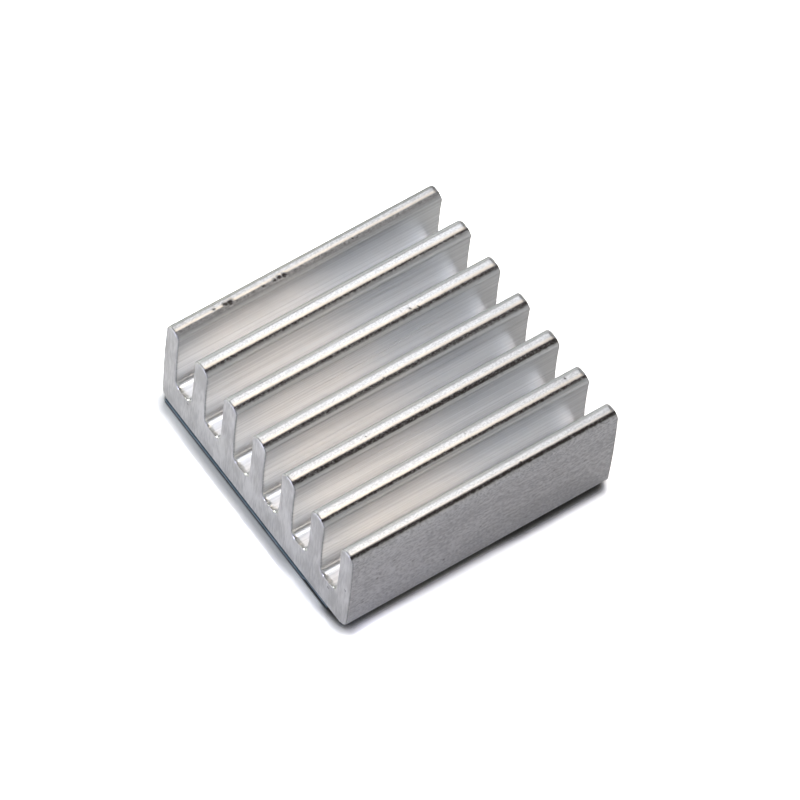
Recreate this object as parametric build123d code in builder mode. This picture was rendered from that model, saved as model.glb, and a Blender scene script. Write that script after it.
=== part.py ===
from build123d import *
import os

# A stick-on heat sink for a memory chip: a sawn length of extruded aluminium with seven fins,
# on a strip of thermal tape whose release film is still in place.
# x runs along the fins, y across them and z up. The origin is on the underside of the film,
# below the middle of the aluminium.

# The extrusion, with heights measured from the underside of its base
cut_length = 13.7
fin_count = 7
fin_pitch = 2.2
fin_top = 5.5
base_thickness = 1.8

# Section of one fin: a flat tip, rounded shoulders, a head, a slight waist and a wider root
tip_width = 0.38
head_width = 0.98
waist_width = 0.93
root_width = 1.08
shoulder_drop = 0.44
waist_rise = 2.1
root_radius = 0.3

# Outer walls, measured outwards from the middle of the outermost fins
brow_reach = 0.42
bulge_reach = 0.46
bulge_height = 2.4
foot_reach = 0.38
foot_radius = 0.2

# Tape and film, with margins measured inwards from the feet of the outer walls and the saw cuts
tape_thickness = 0.25
film_thickness = 0.15
wide_margin = 1.41
narrow_margin = 0.23
end_margin = 0.04

# Levels and places that follow
tape_seat = film_thickness
sink_seat = tape_seat + tape_thickness
head_height = fin_top - shoulder_drop
waist_height = base_thickness + waist_rise
gap_middle = fin_pitch / 2
outer_fin = fin_pitch * (fin_count - 1) / 2
foot = outer_fin + foot_reach
strip_length = cut_length - 2 * end_margin
strip_width = 2 * foot - wide_margin - narrow_margin
strip_shift = (wide_margin - narrow_margin) / 2

os.makedirs("parts", exist_ok=True)

# The space between two fins, drawn about its own middle
with BuildSketch() as gap_section:
    with BuildLine():
        root = (gap_middle - root_width / 2, base_thickness)
        waist = (gap_middle - waist_width / 2, waist_height)
        head = (gap_middle - head_width / 2, head_height)
        tip = (gap_middle - tip_width / 2, fin_top)
        ThreePointArc(root, waist, head)
        TangentArc(head, tip, tangent=(0, 1))
        mirror(about=Plane.YZ)
        Line((-root[0], base_thickness), root)
        Line((-tip[0], fin_top), tip)
    make_face()
    fillet(gap_section.vertices().group_by(Axis.Y)[0], radius=root_radius)

# The extrusion: a block with barrel-shaped outer walls, opened by a row of gaps
with BuildPart() as heat_sink:
    with BuildSketch(Plane((0, 0, sink_seat), x_dir=(0, 1, 0), z_dir=(1, 0, 0))) as section:
        with BuildLine():
            bulge = (outer_fin + bulge_reach, bulge_height)
            brow = (outer_fin + brow_reach, head_height)
            crest = (outer_fin + tip_width / 2, fin_top)
            ThreePointArc((foot, 0), bulge, brow)
            TangentArc(brow, crest, tangent=(0, 1))
            mirror(about=Plane.YZ)
            Line((-foot, 0), (foot, 0))
            Line((-crest[0], fin_top), crest)
        make_face()
        fillet(section.vertices().group_by(Axis.Y)[0], radius=foot_radius)
        with GridLocations(fin_pitch, 0, fin_count - 1, 1):
            add(gap_section.sketch, mode=Mode.SUBTRACT)
    extrude(amount=cut_length / 2, both=True)

heat_sink.part.label = "heat_sink"
export_step(heat_sink.part, "parts/heat_sink.step")

# The thermal tape, stuck to the flat underside nearer to one side than the other
with BuildPart() as thermal_tape:
    with BuildSketch(Plane.XY.offset(tape_seat)):
        with Locations((0, strip_shift)):
            Rectangle(strip_length, strip_width)
    extrude(amount=tape_thickness)

thermal_tape.part.label = "thermal_tape"
export_step(thermal_tape.part, "parts/thermal_tape.step")

# The release film, cut with the tape and still covering its sticky face
with BuildPart() as release_film:
    with BuildSketch():
        with Locations((0, strip_shift)):
            Rectangle(strip_length, strip_width)
    extrude(amount=film_thickness)

release_film.part.label = "release_film"
export_step(release_film.part, "parts/release_film.step")
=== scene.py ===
import math

import bmesh
import bpy
from mathutils import Matrix, Vector, noise


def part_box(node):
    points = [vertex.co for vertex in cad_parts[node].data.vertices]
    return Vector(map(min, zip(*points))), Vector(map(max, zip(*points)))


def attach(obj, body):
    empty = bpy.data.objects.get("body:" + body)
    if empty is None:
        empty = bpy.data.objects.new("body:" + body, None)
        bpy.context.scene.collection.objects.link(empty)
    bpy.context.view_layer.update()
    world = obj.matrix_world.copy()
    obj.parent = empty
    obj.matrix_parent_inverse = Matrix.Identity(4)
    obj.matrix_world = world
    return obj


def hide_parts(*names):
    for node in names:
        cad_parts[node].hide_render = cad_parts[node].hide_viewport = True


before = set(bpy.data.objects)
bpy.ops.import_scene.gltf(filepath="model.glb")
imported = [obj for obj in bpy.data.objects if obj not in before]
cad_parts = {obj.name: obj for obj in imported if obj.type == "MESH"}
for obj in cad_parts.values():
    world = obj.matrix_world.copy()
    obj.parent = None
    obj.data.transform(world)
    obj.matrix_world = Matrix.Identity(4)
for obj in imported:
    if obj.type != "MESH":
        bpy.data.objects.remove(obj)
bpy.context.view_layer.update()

# The heat sink is one length of extruded aluminium: a base with seven fins, the outer two being its
# walls. The die has left fine lines along it and the saw a broken edge round both ends. Handling has
# nicked and worn the tips. Under their near edges lies a dark line, partly dirt and partly a painted
# dark reflection.
MM = 0.001
hair = 0.001 * MM
merge_distance = 0.0005 * MM
low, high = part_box("heat_sink")
fin_count = 7
fin_pitch = 2.2 * MM
fin_row = fin_pitch * (fin_count - 1) / 2
tip_width = 0.38 * MM
shoulder_drop = 0.44 * MM
gap_floor = low.z + 1.8 * MM
foot_reach = 0.38 * MM
foot_wall = fin_row + foot_reach
foot_radius = 0.20 * MM
foot_round = 0.42 * MM
foot_stand = 0.02 * MM
edge_break = 0.10 * MM
sharp_break = 0.30
break_steps = 4
slice_width = 0.07 * MM
tip_cuts = 3
floor_cuts = 13

# The section is the sawn face of the solid at the left
sink = bmesh.new()
sink.from_mesh(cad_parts["heat_sink"].data)
bmesh.ops.remove_doubles(sink, verts=sink.verts, dist=merge_distance)
bmesh.ops.dissolve_limit(sink, verts=sink.verts, edges=sink.edges, angle_limit=math.radians(0.5))
cap = min(sink.faces, key=lambda f: f.calc_center_median().x)
bmesh.ops.delete(sink, geom=[f for f in sink.faces if f is not cap], context="FACES")
cap = sink.faces[:][0]


def flat_edges(level):
    return [e for e in cap.edges if all(abs(v.co.z - level) < hair for v in e.verts)]


def break_edge(face):
    """Rounds the edge of a sawn face by insets that climb a quarter circle towards it."""
    for step in range(break_steps):
        before, after = (math.radians(90 * i / break_steps) for i in (step, step + 1))
        bmesh.ops.inset_region(
            sink, faces=[face], use_boundary=True, use_even_offset=True,
            thickness=edge_break * (math.cos(before) - math.cos(after)),
            depth=edge_break * (math.sin(after) - math.sin(before)),
        )


# The feet of the outer walls are a little rounder than the solid's
for vert in cap.verts:
    from_centre = Vector((abs(vert.co.y) - foot_wall + foot_radius, vert.co.z - low.z - foot_radius))
    if from_centre.x > -10 * hair and from_centre.y < 10 * hair:
        from_centre *= foot_round / from_centre.length
        vert.co.y = math.copysign(foot_wall + foot_stand - foot_round + from_centre.x, vert.co.y)
        vert.co.z = low.z + foot_round + from_centre.y
bmesh.ops.subdivide_edges(sink, edges=flat_edges(high.z), cuts=tip_cuts)
bmesh.ops.subdivide_edges(sink, edges=flat_edges(gap_floor), cuts=floor_cuts)

# From one end the section is drawn out to the other and cut into slices
bmesh.ops.translate(sink, verts=sink.verts, vec=(edge_break, 0, 0))
break_edge(cap)
drawn_length = high.x - low.x - 2 * edge_break
rim = [e for e in sink.edges if e.is_boundary]
drawn = bmesh.ops.extrude_edge_only(sink, edges=rim)["geom"]
far_verts = [g for g in drawn if isinstance(g, bmesh.types.BMVert)]
bmesh.ops.translate(sink, verts=far_verts, vec=(drawn_length, 0, 0))
long_edges = [e for e in sink.edges if abs(e.verts[0].co.x - e.verts[1].co.x) > 0.9 * drawn_length]
slices = round(drawn_length / slice_width)
bmesh.ops.subdivide_edges(sink, edges=long_edges, cuts=slices - 1, use_grid_fill=True)
rim = [e for e in sink.edges if e.is_boundary]
far_cap = bmesh.ops.contextual_create(sink, geom=rim)["faces"][0]
if far_cap.normal.x < 0:
    far_cap.normal_flip()
break_edge(far_cap)
bmesh.ops.recalc_face_normals(sink, faces=sink.faces)

# Nicks: fin, place along it, place across it from the fin's middle, level below the tip, reach and
# depth, in millimetres. The fins are counted from the far wall to the near one.
nicks = (
    (1, -4.78, -0.12, 0.01, 0.11, 0.04),
    (1, -4.20, -0.14, 0.01, 0.18, 0.07),
    (1, -3.98, -0.17, 0.02, 0.21, 0.09),
    (1, -2.31, -0.25, 0.05, 0.11, 0.04),
    (1, -1.72, -0.24, 0.05, 0.14, 0.05),
    (1, -1.50, -0.22, 0.03, 0.16, 0.07),
    (1, -1.24, -0.24, 0.05, 0.18, 0.08),
    (1, 2.27, -0.24, 0.04, 0.08, 0.04),
    (2, 3.30, 0.16, 0.00, 0.07, 0.02),
    (3, 1.93, -0.04, 0.00, 0.07, 0.02),
    (3, 2.34, -0.10, 0.00, 0.09, 0.03),
    (3, 2.69, -0.17, 0.02, 0.08, 0.03),
    (4, -0.60, -0.16, 0.00, 0.07, 0.02),
    (5, -2.90, 0.02, 0.00, 0.06, 0.01),
    (6, 0.75, 0.06, 0.00, 0.07, 0.02),
    (6, 5.90, 0.08, 0.00, 0.08, 0.02),
    (7, 1.90, -0.17, 0.01, 0.09, 0.03),
    (7, 4.40, -0.16, 0.01, 0.08, 0.03),
    (7, -4.20, -0.16, 0.01, 0.08, 0.02),
)
marks = [
    (Vector((x * MM, fin_row - fin_pitch * (f - 1) + y * MM, high.z - drop * MM)), reach * MM, depth * MM)
    for f, x, y, drop, reach, depth in nicks
]
# The dark line below each tip's near edge, partly dirt and partly a painted dark reflection: how far
# down it is dark at the left and at the right end, over what length it fades, in millimetres, and how
# strong it is
dirt_and_reflection_lines = (
    (0.14, 0.14, 0.45, 0.62),
    (0.17, 0.11, 0.22, 0.92),
    (0.22, 0.22, 0.24, 0.82),
    (0.22, 0.25, 0.22, 0.82),
    (0.27, 0.33, 0.12, 0.86),
    (0.17, 0.17, 0.14, 0.96),
    (0.17, 0.19, 0.24, 1.00),
)
streak_length = 0.16 * MM
streak_drift = 0.035
black_depth = 0.10 * MM
first_far_shade = 0.42
far_edge_shade = 0.24
far_edge_shade_height = 0.30 * MM
foot_dark_reflection = 0.50
foot_dark_reflection_height = 0.15 * MM
saw_edge_shade = 0.42
# How far in the far and the near edge of each tip stand, worn or drawn narrow, in millimetres
tip_wear = (
    (0.090, 0.035), (0.040, 0.000), (0.040, -0.005), (0.020, 0.020), (0.030, 0.020), (0.020, 0.015),
    (0.035, 0.060),
)
tip_wander = 0.010 * MM
corner_low = 0.10 * MM
corner_high = 0.25 * MM
corner_out = 0.037 * MM
cut_edge = edge_break * 1.01
lip_height = 0.25 * MM
lip_reach = 0.30 * MM
lip_rag = 0.035 * MM
half_fin = 0.40 * MM
far_corner_round = 0.22 * MM


def clip(value, least=0.0):
    return min(1.0, max(least, value))


def swell(distance, reach):
    """1 at the middle of a mark and 0 past its reach, with a soft slope between."""
    t = clip(1 - distance / reach)
    return t * t * (3 - 2 * t)


# The layer holds how dark each place is painted: dirt, painted shade and painted dark reflections
grime_and_shade_layer = sink.verts.layers.float.new("grime")
for vert in sink.verts:
    here = vert.co.copy()
    from_end = min(here.x - low.x, high.x - here.x)
    end_x = math.copysign(high.x, here.x)
    fin = min(fin_count, max(1, round((fin_row - here.y) / fin_pitch) + 1))
    from_fin = (here.y + fin_row + fin_pitch / 2) % fin_pitch - fin_pitch / 2
    past_tip = -from_fin - tip_width / 2
    rise = here.z - high.z + shoulder_drop
    dirt_and_shade = 0.0
    # Each nick dents the surface and is painted darker the deeper it is
    for centre, reach, depth in marks:
        nearness = swell((here - centre).length, reach)
        vert.co.z -= depth * nearness
        dirt_and_shade = max(dirt_and_shade, clip(nearness * (1 + depth / black_depth)))
    # The shoulders lean in to the worn edges of the tip
    if rise > 0:
        far_wear, near_wear = tip_wear[fin - 1]
        side = clip(from_fin / (tip_width / 2), -1.0)
        vert.co.y -= side * (far_wear if side > 0 else near_wear) * MM * rise / shoulder_drop
    # On the near side the shoulder ends in a soft corner above the head
    if corner_low < rise < corner_high and past_tip > 0 and here.y > -fin_row:
        vert.co.y -= corner_out
        vert.co.z -= corner_out
    # Below the near edge of the tip lie dirt and a painted dark reflection. A weaker painted shade lies
    # along the far edge, a painted dark reflection at the feet of the outer walls and painted shade on
    # the broken edges of the saw cuts
    # Dirt and a painted dark reflection below the tip's near edge
    if past_tip > -hair and here.z > high.z - 1.1 * shoulder_drop:
        left, right, fade, strength = dirt_and_reflection_lines[fin - 1]
        along = (here.x - low.x) / (high.x - low.x)
        streak = noise.noise(Vector((here.x / streak_length, fin * 3.7, 1.0)))
        core = (left + (right - left) * along + streak_drift * streak) * MM
        down = past_tip + high.z - here.z
        past_core = clip((down - core) / (fade * MM))
        past_edge = clip((down + 0.01 * MM) / (0.03 * MM))
        dirt_and_shade = max(dirt_and_shade, strength * past_edge * (1 - past_core) ** 1.5)
    # Painted shade along the far edge of each tip, strongest on the farthest fin
    if from_fin > tip_width / 2 - hair and here.z > high.z - far_edge_shade_height:
        dirt_and_shade = max(dirt_and_shade, first_far_shade if fin == 1 else far_edge_shade)
    # A painted dark reflection of the shadow under the part, on the feet of the outer walls
    if abs(here.y) > fin_row and here.z < low.z + foot_dark_reflection_height:
        dirt_and_shade = max(dirt_and_shade, foot_dark_reflection * (1 - (here.z - low.z) / foot_dark_reflection_height))
    # Painted shade on the broken edges of the saw cuts
    if hair < from_end < edge_break * 0.95 and here.z > low.z + 0.02 * MM:
        dirt_and_shade = max(dirt_and_shade, saw_edge_shade)
    # Each tip edge wanders a little where the die has worn
    if here.z > high.z - hair:
        drift = noise.noise(Vector((here.x / (0.5 * MM), here.y / (0.3 * MM), 3.0)))
        sag = noise.noise(Vector((here.x / (0.8 * MM), here.y / MM, 9.0)))
        vert.co.y += tip_wander * drift
        vert.co.z -= tip_wander / 2 * (1 + sag)
    # The saw leaves a ragged lip where it breaks through the floor of a gap
    if from_end < cut_edge and abs(here.z - gap_floor) < lip_reach and abs(from_fin) > half_fin:
        tear = noise.noise(Vector((here.y / (0.13 * MM), here.x / MM, 5.0)))
        beside = clip((here.z - gap_floor) / lip_height)
        sharp = sharp_break + (1 - sharp_break) * beside
        vert.co.x = end_x - (end_x - here.x) * sharp
        if beside < 0.001:
            vert.co.z = gap_floor - (gap_floor - here.z) * sharp - lip_rag * (0.6 + tear)
            dirt_and_shade = 0.0
    # The bottom edges of the saw cuts are left sharp
    flat_below = abs(here.y) < foot_wall - foot_round + 0.05 * MM
    if from_end < cut_edge and here.z < low.z + cut_edge and flat_below:
        vert.co.x = end_x - (end_x - here.x) * sharp_break
        vert.co.z = low.z + (here.z - low.z) * sharp_break
        dirt_and_shade = 0.0
    # The far ends of the tips are rounded by wear
    run = far_corner_round - max(0.0, high.x - here.x)
    if run > 0 and rise > 0:
        fall = far_corner_round - math.sqrt(far_corner_round ** 2 - run ** 2)
        vert.co.z -= fall * rise / shoulder_drop
    vert[grime_and_shade_layer] = dirt_and_shade

for face in sink.faces:
    face.smooth = True
    face.material_index = 1 if abs(face.normal.x) > 0.8 else 0
crease = math.radians(31.5)
for edge in sink.edges:
    lengthwise = abs(edge.verts[0].co.x - edge.verts[1].co.x) > 0.5 * slice_width
    if lengthwise and edge.calc_face_angle() > crease:
        edge.smooth = False


def to_object(name, shape):
    """Makes a finished bmesh an object of the scene."""
    mesh = bpy.data.meshes.new(name)
    shape.to_mesh(mesh)
    shape.free()
    made = bpy.data.objects.new(name, mesh)
    bpy.context.scene.collection.objects.link(made)
    return made


body = to_object("sink_body", sink)
weighted = body.modifiers.new("even_shading", "WEIGHTED_NORMAL")
weighted.keep_sharp = True


class Shade:
    """A socket of a material. Sums and products of sockets add Math nodes to it."""

    def __init__(self, socket):
        self.socket = socket

    def node(self, kind, settings=None, sockets=None, output=0):
        """Adds a node: its settings first, then the values or links of its sockets."""
        tree = self.socket.id_data
        made = tree.nodes.new("ShaderNode" + kind)
        for name, value in (settings or {}).items():
            if name == "stops":
                ramp = made.color_ramp
                while len(ramp.elements) < len(value):
                    ramp.elements.new(1)
                for element, (place, colour) in zip(ramp.elements, value):
                    element.position, element.color = place, colour
            else:
                setattr(made, name, value)
        for name, value in (sockets or {}).items():
            socket = made.inputs[name]
            if isinstance(value, Shade):
                tree.links.new(value.socket, socket)
            else:
                socket.default_value = (*value, 1) if socket.type == "RGBA" else value
        return Shade(made.outputs[output])

    def maths(self, operation, *values):
        return self.node("Math", {"operation": operation}, dict(enumerate(values)))

    def axis(self, number):
        return self.node("SeparateXYZ", {}, {"Vector": self}, number)

    def ramp(self, start, end, first=0.0, last=1.0):
        """Runs smoothly from the first to the last value while this one goes from start to end."""
        ends = {"Value": self, "From Min": start, "From Max": end, "To Min": first, "To Max": last}
        return self.node("MapRange", {"interpolation_type": "SMOOTHSTEP"}, ends)

    def grain(self, size, stretch=(1, 1, 1), detail=2.0, rough=0.5):
        """Noise with features of a size, drawn out along an axis whose stretch is small."""
        drawn = self.node("Mapping", {}, {"Vector": self, "Scale": stretch})
        inputs = {"Vector": drawn, "Scale": 1 / size, "Detail": detail, "Roughness": rough}
        return self.node("TexNoise", {}, inputs)

    def spots(self, places, reach):
        """1 at each of some places and 0 past the reach from all of them."""
        nearest = 1.0
        for place in places:
            distance = self.node("VectorMath", {"operation": "DISTANCE"}, {0: self, 1: place}, 1)
            nearest = distance.maths("MINIMUM", distance, nearest)
        return nearest.ramp(reach, 0.4 * reach)

    def blend(self, first, second):
        """Goes from the first colour to the second as this value goes from 0 to 1."""
        return self.node("Mix", {"data_type": "RGBA"}, {"Factor": self, 6: first, 7: second}, 2)

    def bump(self, distance, strength=1.0):
        """The normal of a surface that this value raises by up to a distance."""
        return self.node("Bump", {}, {"Height": self, "Strength": strength, "Distance": distance})

    def __add__(self, other):
        return self.maths("ADD", self, other)

    __radd__ = __add__

    def __sub__(self, other):
        return self.maths("SUBTRACT", self, other)

    def __rsub__(self, other):
        return self.maths("SUBTRACT", other, self)

    def __mul__(self, other):
        return self.maths("MULTIPLY", self, other)

    __rmul__ = __mul__


def new_finish(name):
    """A new material, its shader and its Object coordinates."""
    material = bpy.data.materials.new(name)
    material.use_nodes = True
    tree = material.node_tree
    place = Shade(tree.nodes.new("ShaderNodeTexCoord").outputs["Object"])
    return material, tree.nodes["Principled BSDF"], place


def feed(shader, socket, value):
    shader.id_data.links.new(value.socket, shader.inputs[socket])


def grey(tone):
    return (tone, tone, tone)


# Mill finish, as the metal leaves the die: bright, with fine straight lines along the fins. Over part of
# its length it is painted brighter and warmer, a painted broad highlight
mill, shader, place = new_finish("mill_aluminium")
along, across, up = place.axis(0), place.axis(1), place.axis(2)
fine_lines = place.grain(0.09 * MM, (0.006, 1, 1), 2, 0.6)
broad_lines = place.grain(0.22 * MM, (0.004, 1, 1), 1, 0.5)
patches = place.grain(1.6 * MM, (0.5, 1, 1), 2, 0.5)
speckle = place.grain(0.06 * MM, (0.6, 1, 1), 3, 0.7)
cool_metal = (0.905, 0.912, 0.920)
warm_highlight_metal = (0.988, 0.974, 0.959)
highlight_zone = along.ramp(-6.6 * MM, -3.8 * MM) * along.ramp(2.6 * MM, -0.8 * MM)
metal = highlight_zone.blend(cool_metal, warm_highlight_metal)
tone = fine_lines * 0.7 + broad_lines * 0.2 + patches * 0.1
line_tone = tone.ramp(0.38, 0.62, 0.86, 1.03)
metal = place.node("VectorMath", {"operation": "SCALE"}, {0: metal, "Scale": line_tone})
# The outer walls are duller and blotchy, with a few pits in the near one
pits = (
    (-5.46, 2.98), (-5.33, 3.27), (-3.60, 2.80), (-4.65, 3.72), (-0.12, 2.50), (5.25, 3.20),
    (-6.10, 1.60), (-1.90, 1.35), (2.40, 1.05), (3.60, 3.85), (-2.75, 4.30),
)
pit_size = 0.11 * MM
pit_colour = (0.42, 0.41, 0.42)
outer = across.maths("ABSOLUTE", across).ramp(fin_row + 0.28 * MM, fin_row + 0.34 * MM)
mottle = place.grain(0.09 * MM, (0.55, 1, 1), 4, 0.7)
wall_tone = (mottle * 0.65 + fine_lines * 0.2 + patches * 0.15).ramp(0.41, 0.59)
wall_metal = wall_tone.blend((0.64, 0.64, 0.65), (0.95, 0.95, 0.96))
pitted = place.spots([(x * MM, low.y, low.z + z * MM) for x, z in pits], pit_size)
wall_metal = (pitted * mottle.ramp(0.35, 0.6)).blend(wall_metal, pit_colour)
metal = outer.blend(metal, wall_metal)
# The tips are speckled by wear and the farthest one is the dullest. Along their near edges a warm
# tint is painted, a painted warm reflection
warm_reflection_tint = (0.92, 0.84, 0.73)
tip_mask = up.ramp(high.z - 0.02 * MM, high.z - 0.012 * MM)
worn = speckle.ramp(0.40, 0.60)
farthest = across.ramp(fin_row - 0.6 * fin_pitch, fin_row - 0.4 * fin_pitch)
tip_metal = farthest.blend(worn.blend(grey(0.64), grey(0.84)), worn.blend(grey(0.48), grey(0.68)))
row_place = across + (fin_row + fin_pitch / 2)
from_fin = row_place.maths("MODULO", row_place, fin_pitch) - fin_pitch / 2
near_edge_reflection = from_fin.ramp(0.02 * MM, -0.21 * MM)
metal = tip_mask.blend(metal, near_edge_reflection.blend(tip_metal, warm_reflection_tint))
# Dirt, painted shade and painted dark reflections are as dark as the mesh's layer says, broken up into
# crumbs
dirt_and_shade_colour = (0.045, 0.036, 0.032)
grime = place.node("Attribute", {"attribute_name": "grime"}, {}, "Fac")
crumbs = place.grain(0.13 * MM, (0.8, 1, 1), 2, 0.6)
soiled_and_shaded = grime + grime * ((speckle - 0.5) * 1.2 + (crumbs - 0.5) * 0.7)
dark = soiled_and_shaded.ramp(0.0, 1.0)
feed(shader, "Base Color", dark.blend(metal, dirt_and_shade_colour))
feed(shader, "Metallic", 1 - dark * 0.8)
# The far shoulders are duller than the near ones
shoulder = up.ramp(high.z - 0.9 * MM, high.z - 0.45 * MM) * (1 - tip_mask)
shoulder = shoulder * (1 - 0.6 * from_fin.ramp(0.02 * MM, -0.02 * MM) * (1 - outer))
gloss = 0.245 + fine_lines * 0.10 + tip_mask * 0.05 + shoulder * 0.22 + outer * 0.11 + dark * 0.2
feed(shader, "Roughness", gloss)
# A flaw in the die has drawn one ridge along the near face of the fifth fin
ridge_level = high.z - 0.67 * MM
ridge_width = 0.03 * MM
ridge = up.ramp(ridge_level - ridge_width, ridge_level) * up.ramp(ridge_level + ridge_width, ridge_level)
ridge = ridge * across.ramp(-1.45 * fin_pitch, -1.40 * fin_pitch)
ridge = ridge * across.ramp(-1.05 * fin_pitch, -1.10 * fin_pitch)
lines = (fine_lines * 1.7 + broad_lines * 0.8) * (1 - outer)
relief = lines + outer * mottle * 1.5 + tip_mask * speckle * 1.5 + ridge * 4.0
feed(shader, "Normal", relief.bump(0.004 * MM))
body.data.materials.append(mill)

# The sawn ends: matte, with faint upright saw marks and a few torn pits
sawn, shader, place = new_finish("sawn_aluminium")
saw_marks = place.grain(0.09 * MM, (1, 1, 0.12), 3, 0.6)
clouds = place.grain(0.9 * MM, (1, 1, 0.6), 2, 0.5)
cut_tone = (saw_marks * 0.5 + clouds * 0.5).ramp(0.36, 0.64)
cut_metal = cut_tone.blend((0.69, 0.685, 0.67), (0.905, 0.90, 0.885))
tears = ((-6.72, 2.76), (-5.90, 2.23), (-5.59, 1.41), (5.10, 1.62))
tear_size = 0.10 * MM
tear_colour = (0.36, 0.35, 0.34)
torn = place.spots([(low.x, y * MM, low.z + z * MM) for y, z in tears], tear_size)
torn = torn * saw_marks.ramp(0.3, 0.6)
feed(shader, "Base Color", torn.blend(cut_metal, tear_colour))
shader.inputs["Metallic"].default_value = 1
feed(shader, "Roughness", 0.45 + saw_marks * 0.2)
feed(shader, "Normal", saw_marks.bump(0.006 * MM))
body.data.materials.append(sawn)
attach(body, "root")
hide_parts("heat_sink")

# The thermal tape is a strip of soft, dark blue-green adhesive cut from a roll with a blade. It
# holds the sink down. Its cut edges wander a little, and it stops short of the near wall.
tape_low, tape_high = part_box("thermal_tape")
blade_step = 0.12 * MM
blade_wander = 0.022 * MM
notch_place = -3.9 * MM
notch_depth = 0.05 * MM


def new_face(made):
    """The one face among the new parts that an operator returns."""
    return next(part for part in made["geom"] if isinstance(part, bmesh.types.BMFace))


def cut_sheet(name, lowest, highest, rows, wander, seed):
    """A sheet cut out with a blade. Each row is a level, and how far the edge stands back there."""
    middle = (lowest + highest) / 2
    half = (highest - lowest) / 2
    sheet = bmesh.new()
    corners = ((lowest.x, lowest.y), (highest.x, lowest.y), (highest.x, highest.y), (lowest.x, highest.y))
    sheet.faces.new([sheet.verts.new((x, y, rows[0][0])) for x, y in corners])
    for edge in sheet.edges[:]:
        bmesh.ops.subdivide_edges(sheet, edges=[edge], cuts=round(edge.calc_length() / blade_step))
    for vert in sheet.verts:
        here = vert.co.copy()
        for axis in (0, 1):
            if min(here[axis] - lowest[axis], highest[axis] - here[axis]) > 10 * hair:
                continue
            run = here[1 - axis]
            drift = noise.noise(Vector((run / (1.4 * MM), here[axis] / MM, seed)))
            drift += 0.4 * noise.noise(Vector((run / (0.3 * MM), here[axis] / MM, seed + 4)))
            back = wander * (1 + clip(drift, -1.0))
            if axis == 0 and here.x < 0 and here.y < notch_place:
                back += notch_depth
            vert.co[axis] += math.copysign(back, middle[axis] - here[axis])
    top = sheet.faces[:][0]
    bottom = new_face(bmesh.ops.duplicate(sheet, geom=[top]))
    bottom.normal_flip()
    for (level, stand), (next_level, next_stand) in zip(rows, rows[1:]):
        raised = bmesh.ops.extrude_face_region(sheet, geom=[top])
        bmesh.ops.delete(sheet, geom=[top], context="FACES_ONLY")
        top = new_face(raised)
        step = next_stand - stand
        squeeze = (1 - step / half.x, 1 - step / half.y, 1)
        bmesh.ops.translate(sheet, verts=top.verts[:], vec=(0, 0, next_level - level))
        bmesh.ops.scale(sheet, verts=top.verts[:], vec=squeeze, space=Matrix.Translation(-middle))
    bmesh.ops.remove_doubles(sheet, verts=sheet.verts, dist=merge_distance)
    bmesh.ops.recalc_face_normals(sheet, faces=sheet.faces)
    for face in sheet.faces:
        face.smooth = abs(face.normal.z) < 0.9
    return to_object(name, sheet)


tape_rows = (
    (tape_low.z, 0.02 * MM), (tape_low.z + 0.03 * MM, 0.0), (tape_low.z + 0.08 * MM, 0.015 * MM),
    (tape_low.z + 0.17 * MM, 0.015 * MM), (tape_high.z - 0.03 * MM, 0.0), (tape_high.z, 0.02 * MM),
)
tape_strip = cut_sheet("tape_strip", tape_low, tape_high, tape_rows, blade_wander, 2.0)
tape, shader, place = new_finish("thermal_tape")
fibres = place.grain(0.12 * MM, (1, 1, 0.5), 3, 0.6)
smears = place.grain(0.9 * MM, (1, 1, 1), 2, 0.5)
dust = place.grain(0.05 * MM, (1, 1, 1), 2, 0.6).ramp(0.66, 0.74)
tape_tone = (fibres * 0.5 + smears * 0.5).ramp(0.3, 0.7)
tape_colour = tape_tone.blend((0.020, 0.050, 0.070), (0.045, 0.090, 0.120))
dust_colour = (0.35, 0.38, 0.40)
feed(shader, "Base Color", (dust * 0.3).blend(tape_colour, dust_colour))
feed(shader, "Roughness", 0.55 + fibres * 0.25)
feed(shader, "Normal", fibres.bump(0.01 * MM, 0.6))
tape_strip.data.materials.append(tape)
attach(tape_strip, "root")
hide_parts("thermal_tape")

# The release film is the thin, milky plastic sheet that covers the tape until the sink is stuck
# down. It was cut together with the tape, so its edges follow the same line.
film_low, film_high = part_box("release_film")
film_rows = (
    (film_low.z, 0.015 * MM), (film_low.z + 0.03 * MM, 0.0),
    (film_high.z - 0.03 * MM, 0.0), (film_high.z, 0.015 * MM),
)
film_sheet = cut_sheet("film_sheet", film_low, film_high, film_rows, blade_wander * 0.6, 7.0)
film, shader, place = new_finish("release_film")
haze = place.grain(0.6 * MM, (1, 1, 1), 3, 0.55)
scuffs = place.grain(0.08 * MM, (0.15, 1, 1), 2, 0.6)
# Its dark blue-grey is partly the dark tape seen through it and partly painted shade under the part
feed(shader, "Base Color", haze.ramp(0.3, 0.7).blend((0.10, 0.15, 0.18), (0.20, 0.26, 0.30)))
feed(shader, "Roughness", 0.28 + scuffs * 0.2)
feed(shader, "Normal", (haze + scuffs * 0.4).bump(0.008 * MM, 0.5))
film_sheet.data.materials.append(film)
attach(film_sheet, "root")
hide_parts("release_film")

# The table is plain and white. To the lens it is brighter than the light on it, so that only the
# shadow close to the part is left on white.
disc = bmesh.new()
bmesh.ops.create_circle(disc, cap_ends=True, segments=96, radius=0.6)
table = to_object("table", disc)
table_gain = 4.0


def shadow_stops(tones):
    """Stops of a colour ramp from how open a place on the table is to how bright it looks."""
    return [(open_part, (*grey(bright / table_gain), 1)) for open_part, bright in tones]


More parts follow.
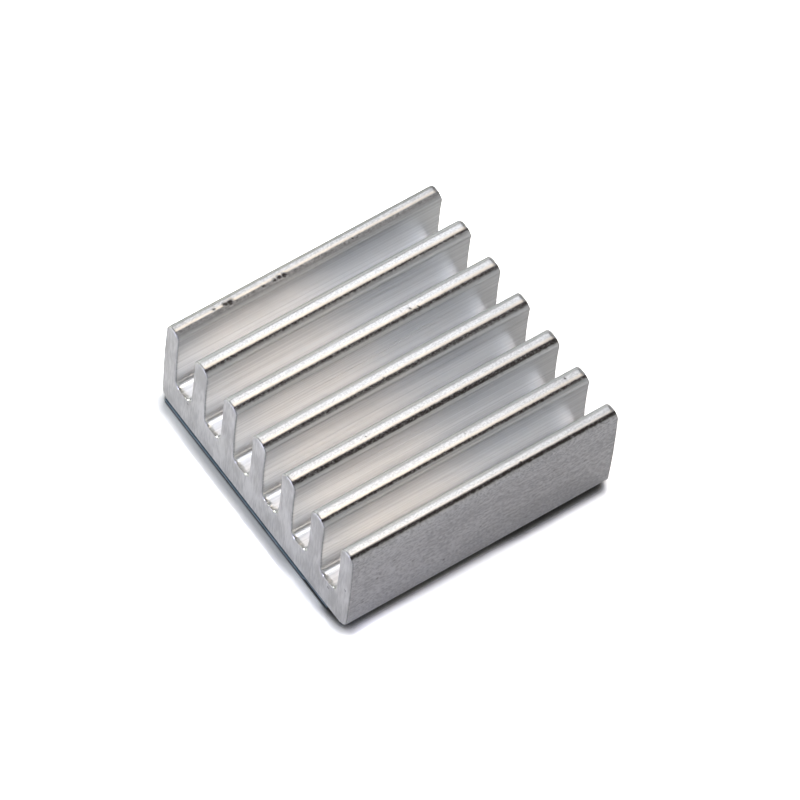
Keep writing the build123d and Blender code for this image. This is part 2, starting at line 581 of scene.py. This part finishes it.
wall_shadow = shadow_stops((
    (0.10, 0.08), (0.53, 0.13), (0.57, 0.20), (0.64, 0.52),
    (0.71, 1.20), (0.78, 2.30), (0.86, 3.10), (0.97, 4.00),
))
end_shadow = shadow_stops((
    (0.10, 0.12), (0.45, 0.47), (0.58, 0.90), (0.66, 0.77),
    (0.78, 1.07), (0.92, 1.49), (0.99, 1.76), (1.00, 4.00),
))
white, shader, place = new_finish("white_table")
shader.inputs["Roughness"].default_value = 1
shader.inputs["Specular IOR Level"].default_value = 0
along, across = place.axis(0), place.axis(1)
open_part = place.node("AmbientOcclusion", {"samples": 16}, {"Distance": 0.7 * MM}, "AO")
# Beside the near wall the shadow is wide and dark, the widest towards the right
by_wall = open_part + along.ramp(2.5 * MM, 0.5 * MM, -0.04, 0.03)
by_wall = by_wall.node("ValToRGB", {"stops": wall_shadow}, {"Fac": by_wall})
by_wall = by_wall * along.ramp(-4.4 * MM, -7.0 * MM, 1.0, 0.55) + open_part.ramp(0.90, 0.99) * 0.5
# Beside the sawn end it is thin and soft, and fades towards both corners
by_end = open_part.node("ValToRGB", {"stops": end_shadow}, {"Fac": open_part})
by_end = by_end * (1 + 0.25 * across.ramp(3.5 * MM, 6.0 * MM) + 0.55 * across.ramp(-2.2 * MM, -4.0 * MM))
past_end = along.ramp(low.x + 0.05 * MM, low.x - 0.05 * MM) * across.ramp(-5.8 * MM, -5.0 * MM)
seen_tone = (by_wall + (by_end - by_wall) * past_end).blend(grey(0), grey(table_gain))
seen = place.node("LightPath", output="Is Camera Ray")
mirrored = place.node("LightPath", output="Is Glossy Ray")
mirrored = mirrored + place.node("LightPath", output="Is Transmission Ray")
lit_tone = mirrored.blend(grey(0.7), grey(0.8))
feed(shader, "Base Color", seen.blend(lit_tone, seen_tone))
table.data.materials.append(white)

# Round the table stands a white backdrop, low enough to leave the room above it dim. The metal
# mirrors both.
world = bpy.data.worlds.new("studio")
bpy.context.scene.world = world
world.use_nodes = True
room = world.node_tree.nodes["Background"]
facing = Shade(world.node_tree.nodes.new("ShaderNodeTexCoord").outputs["Generated"])
feed(room, "Color", facing.axis(2).ramp(0.05, 0.25).blend(grey(1), grey(0.12)))
room.inputs["Strength"].default_value = 1

# Ten small square lamps stand round the part, at the same distance. Each has its lean from the
# middle towards +X and its tilt up from the near side, both in degrees, its brightness and colour.
lamp_distance = 70 * MM
lamp_side = 24 * MM
lit_place = Vector((0, 0, 3 * MM))
lamps = (
    ("left_low", -75, 80, 3.7, (0.92, 1.0, 1.7)),
    ("left_high", -75, 104, 4.0, (1.04, 1.0, 0.97)),
    ("back_left", -20, 152, 4.4, (1.0, 1.0, 0.64)),
    ("back_middle", -10, 152, 4.6, (0.92, 1.0, 1.1)),
    ("top_left", 10, 92, 3.3, (1.15, 1.0, 0.82)),
    ("high_left", 10, 116, 0.8, (1, 1, 1)),
    ("near_top", 20, 65, 1.5, (1.14, 1.0, 0.9)),
    ("top", 20, 80, 1.2, (0.75, 1.0, 1.35)),
    ("high", 20, 116, 0.8, (0.92, 1.0, 1.2)),
    ("back_high", 20, 128, 1.5, (1, 1, 1)),
)
for name, lean, tilt, brightness, colour in lamps:
    lean, tilt = math.radians(lean), math.radians(tilt)
    towards = Vector((math.sin(lean), -math.cos(lean) * math.cos(tilt), math.cos(lean) * math.sin(tilt)))
    light = bpy.data.lights.new(name, "AREA")
    light.shape = "SQUARE"
    light.size = lamp_side
    light.energy = lamp_side ** 2 * math.pi * brightness
    light.color = colour
    lamp = bpy.data.objects.new(name, light)
    bpy.context.scene.collection.objects.link(lamp)
    lamp.location = lit_place + towards * lamp_distance
    lamp.rotation_mode = "QUATERNION"
    lamp.rotation_quaternion = towards.to_track_quat("Z", "Y")
    lamp.visible_camera = False

# The camera looks down on the sawn end at the left and on the near wall, from far away through a
# long lens. Its place is given along its own axes, from the middle of the heat sink's underside.
azimuth, elevation, roll = math.radians(-40.348), math.radians(57.413), math.radians(6.907)
camera_place = Vector((0.657 * MM, 1.590 * MM, 375.67 * MM))
focal_pixels = 8763
picture_width = 800
film_width = 36
turn = (
    Matrix.Rotation(azimuth, 3, "Z")
    @ Matrix.Rotation(math.pi / 2 - elevation, 3, "X")
    @ Matrix.Rotation(roll, 3, "Z")
)
camera = bpy.data.objects.new("camera", bpy.data.cameras.new("camera"))
bpy.context.scene.collection.objects.link(camera)
camera.data.sensor_width = film_width
camera.data.lens = film_width * focal_pixels / picture_width
camera.data.clip_start = 0.01
camera.data.clip_end = 10
camera.rotation_mode = "QUATERNION"
camera.rotation_quaternion = turn.to_quaternion()
camera.location = Vector((0, 0, low.z)) + turn @ camera_place
bpy.context.scene.camera = camera
bpy.context.scene.view_settings.view_transform = "Standard"
